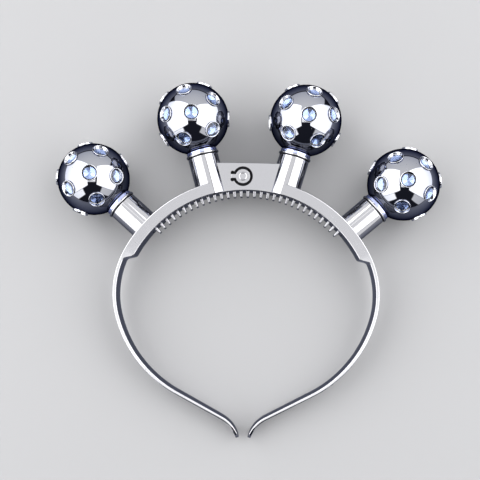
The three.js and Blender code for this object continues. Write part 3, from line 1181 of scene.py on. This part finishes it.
class HEADBAND_OT_balls(Operator):
    """Mirror balls with their cups and rims"""

    bl_idname = "headband.balls"
    bl_label = "Mirror balls"

    def execute(self, context):
        settings = context.scene.headband
        ball, stone = settings.ball, settings.stone
        bright = bright_chrome(settings.finish)
        tree = copies_on_ball()
        first = ball_shell(ball, "mirror_ball_1", mirror(settings.finish))
        for pattern, operation in ((rim_pattern(stone), "UNION"), (cup_pattern(stone), "DIFFERENCE")):
            seats = stone_seats(ball)
            grow(seats, tree, Pattern=pattern, Spin=0.0, Seed=0, Finish=bright)
            bpy.data.objects.remove(pattern)
            carve(first, seats, operation)
        shade(first)
        round_normals(first, ball)
        balls = [first]
        for number in range(2, len(POST_ANGLES) + 1):
            balls.append(first.copy())
            balls[-1].name = f"mirror_ball_{number}"
            balls[-1].data = first.data.copy()
            context.scene.collection.objects.link(balls[-1])
        for number, piece in enumerate(balls, 1):
            piece.data.transform(to_ball(number))
            lay(piece, "mirror_ball", f"ball_{number}")
        return {"FINISHED"}


class HEADBAND_OT_stones(Operator):
    """Cut stones and the foil behind them"""

    bl_idname = "headband.stones"
    bl_label = "Cut stones"

    def execute(self, context):
        settings = context.scene.headband
        ball, stone = settings.ball, settings.stone
        tree = copies_on_ball()
        kinds = (
            ("stones", stone_pattern(stone), clear_stone(settings.finish)),
            ("foils", foil_pattern(stone), stone_foil(settings.finish)),
        )
        for label, pattern, finish in kinds:
            for number in range(1, len(POST_ANGLES) + 1):
                piece = stone_seats(ball)
                piece.name = f"{label}_{number}"
                grow(piece, tree, Pattern=pattern, Spin=math.tau, Seed=number, Finish=finish)
                piece.data.transform(to_ball(number))
                lay(piece, "stone", f"ball_{number}")
            bpy.data.objects.remove(pattern)
        return {"FINISHED"}


# Stage

def aim(thing, place, target, up):
    """Puts a lamp or camera at a place, looking at a target."""
    back = (place - target).normalized()
    right = up.cross(back).normalized()
    axes = Matrix((right, back.cross(right), back)).transposed()
    thing.matrix_world = Matrix.Translation(place) @ axes.to_4x4()


def soften(data, sides, foot, top):
    """Dims a lamp towards its edges, over these shares of its width and of its height."""
    data.use_nodes = True
    nodes, links = data.node_tree.nodes, data.node_tree.links
    spot = nodes.new("ShaderNodeSeparateXYZ")
    links.new(nodes.new("ShaderNodeTexCoord").outputs["UV"], spot.inputs["Vector"])
    glow = nodes["Emission"].inputs["Strength"]
    for axis, low, high in (("X", 0, sides), ("X", 1, 1 - sides), ("Y", 0, foot), ("Y", 1, 1 - top)):
        ramp = nodes.new("ShaderNodeMapRange")
        ramp.interpolation_type = "SMOOTHSTEP"
        ramp.inputs["From Min"].default_value = low
        ramp.inputs["From Max"].default_value = high
        links.new(spot.outputs[axis], ramp.inputs["Value"])
        product = nodes.new("ShaderNodeMath")
        product.operation = "MULTIPLY"
        product.inputs[1].default_value = 1
        links.new(ramp.outputs["Result"], product.inputs[0])
        links.new(product.outputs["Value"], glow)
        glow = product.inputs[1]


def soft_lamp(stage, lamp, place, target, size):
    """Softbox of a brightness that doesn't change with its size, dimmer towards its sides, foot and top."""
    name = f"{lamp['lamp']}_panel"
    data = bpy.data.lights.new(name, "AREA")
    data.shape = "RECTANGLE"
    data.size, data.size_y = size
    data.energy = getattr(stage, f"{lamp['lamp']}_light") * math.pi * size[0] * size[1]
    soften(data, *lamp["fades"])
    panel = new_object(name, data)
    panel.visible_camera = False
    aim(panel, Vector(place), Vector(target), Vector((0, 0, 1)))


def side_lamp(stage, lamp):
    """Softbox on the left or right, down the slope to the floor."""
    top = SLOPE_TOP.lerp(SLOPE_FOOT, lamp["start"])
    middle = (top + SLOPE_FOOT) / 2
    run = SLOPE_FOOT - SLOPE_TOP
    height_over_axis = middle.x * run.x / -run.y
    along = (lamp["front"] + lamp["back"]) / 2
    place = (lamp["side"] * middle.x, along, middle.y)
    target = (0, along, middle.y - height_over_axis)
    soft_lamp(stage, lamp, place, target, (lamp["back"] - lamp["front"], (SLOPE_FOOT - top).length))


def level_lamp(stage, lamp):
    """Softbox high over the hoop, aimed a hair off straight down so that its foot lies towards the tips."""
    along = (lamp["front"] + lamp["back"]) / 2
    off_plumb = 0.005
    place, target = (LEVEL_X, along, LEVEL_HEIGHT), (LEVEL_X, along + off_plumb, 0)
    soft_lamp(stage, lamp, place, target, (LEVEL_WIDTH, lamp["back"] - lamp["front"]))


def studio_world():
    """Dark studio round the lamps, with a pale backdrop where the camera looks past the floor."""
    world = bpy.data.worlds.new("studio")
    world.use_nodes = True
    nodes, links = world.node_tree.nodes, world.node_tree.links
    dark = nodes["Background"]
    dark.inputs["Color"].default_value = (*DARK_STUDIO, 1)
    pale = nodes.new("ShaderNodeBackground")
    pale.inputs["Color"].default_value = (*PALE_BACKDROP, 1)
    either = nodes.new("ShaderNodeMixShader")
    links.new(nodes.new("ShaderNodeLightPath").outputs["Is Camera Ray"], either.inputs["Fac"])
    links.new(dark.outputs["Background"], either.inputs[1])
    links.new(pale.outputs["Background"], either.inputs[2])
    links.new(either.outputs["Shader"], nodes["World Output"].inputs["Surface"])
    bpy.context.scene.world = world


class HEADBAND_OT_stage(Operator):
    """Pale floor, soft lamps and the camera"""

    bl_idname = "headband.stage"
    bl_label = "Stage"

    def execute(self, context):
        settings = context.scene.headband
        stage = settings.stage
        corners = [(x, y, 0) for x, y in circle((0, 0), FLOOR_RADIUS, ROUND_SIDES)]
        floor = new_mesh("floor", corners, [tuple(range(ROUND_SIDES))], pale_floor(settings.finish))
        for lamp in SIDE_LAMPS:
            side_lamp(stage, lamp)
        soft_lamp(stage, BACK_LAMP, BACK_PLACE, BACK_TARGET, BACK_SIZE)
        for lamp in LEVEL_LAMPS:
            level_lamp(stage, lamp)
        studio_world()
        context.scene.view_settings.view_transform = "Standard"
        data = bpy.data.cameras.new("camera")
        data.lens = stage.lens
        data.sensor_width = FILM_WIDTH
        camera = new_object("camera", data)
        place, target = HOOP_PLANE @ CAMERA_IN_PLANE, HOOP_PLANE @ TARGET_IN_PLANE
        aim(camera, place, target, PLANE_TURN.to_3x3() @ UP_IN_PLANE)
        context.scene.camera = camera
        return {"FINISHED"}


# Panel and registration

class HEADBAND_PT_tools(Panel):
    """Builds the headband step by step"""

    bl_idname = "HEADBAND_PT_tools"
    bl_label = "Mirror Ball Headband"
    bl_space_type = "VIEW_3D"
    bl_region_type = "UI"
    bl_category = "Headband"

    def draw(self, context):
        for step in STEPS:
            self.layout.operator(step.bl_idname)
        settings = context.scene.headband
        for group in (settings.hoop, settings.finish, settings.stage):
            column = self.layout.column()
            for name in group.__annotations__:
                column.prop(group, name)


GROUPS = (
    HoopSizes,
    PostSizes,
    SwitchSizes,
    CombSizes,
    BallSizes,
    StoneSizes,
    Finishes,
    StageSettings,
    HeadbandSettings,
)
STEPS = (
    HEADBAND_OT_stage,
    HEADBAND_OT_moulding,
    HEADBAND_OT_button,
    HEADBAND_OT_comb,
    HEADBAND_OT_collars,
    HEADBAND_OT_balls,
    HEADBAND_OT_stones,
)
CLASSES = (*GROUPS, *STEPS, HEADBAND_PT_tools)


def register():
    for kind in CLASSES:
        bpy.utils.register_class(kind)
    bpy.types.Scene.headband = PointerProperty(type=HeadbandSettings)


def unregister():
    del bpy.types.Scene.headband
    for kind in reversed(CLASSES):
        bpy.utils.unregister_class(kind)


def main():
    register()
    bpy.ops.headband.stage()
    bpy.ops.headband.moulding()
    bpy.ops.headband.button()
    bpy.ops.headband.comb()
    bpy.ops.headband.collars()
    bpy.ops.headband.balls()
    bpy.ops.headband.stones()


if __name__ == "__main__":
    main()
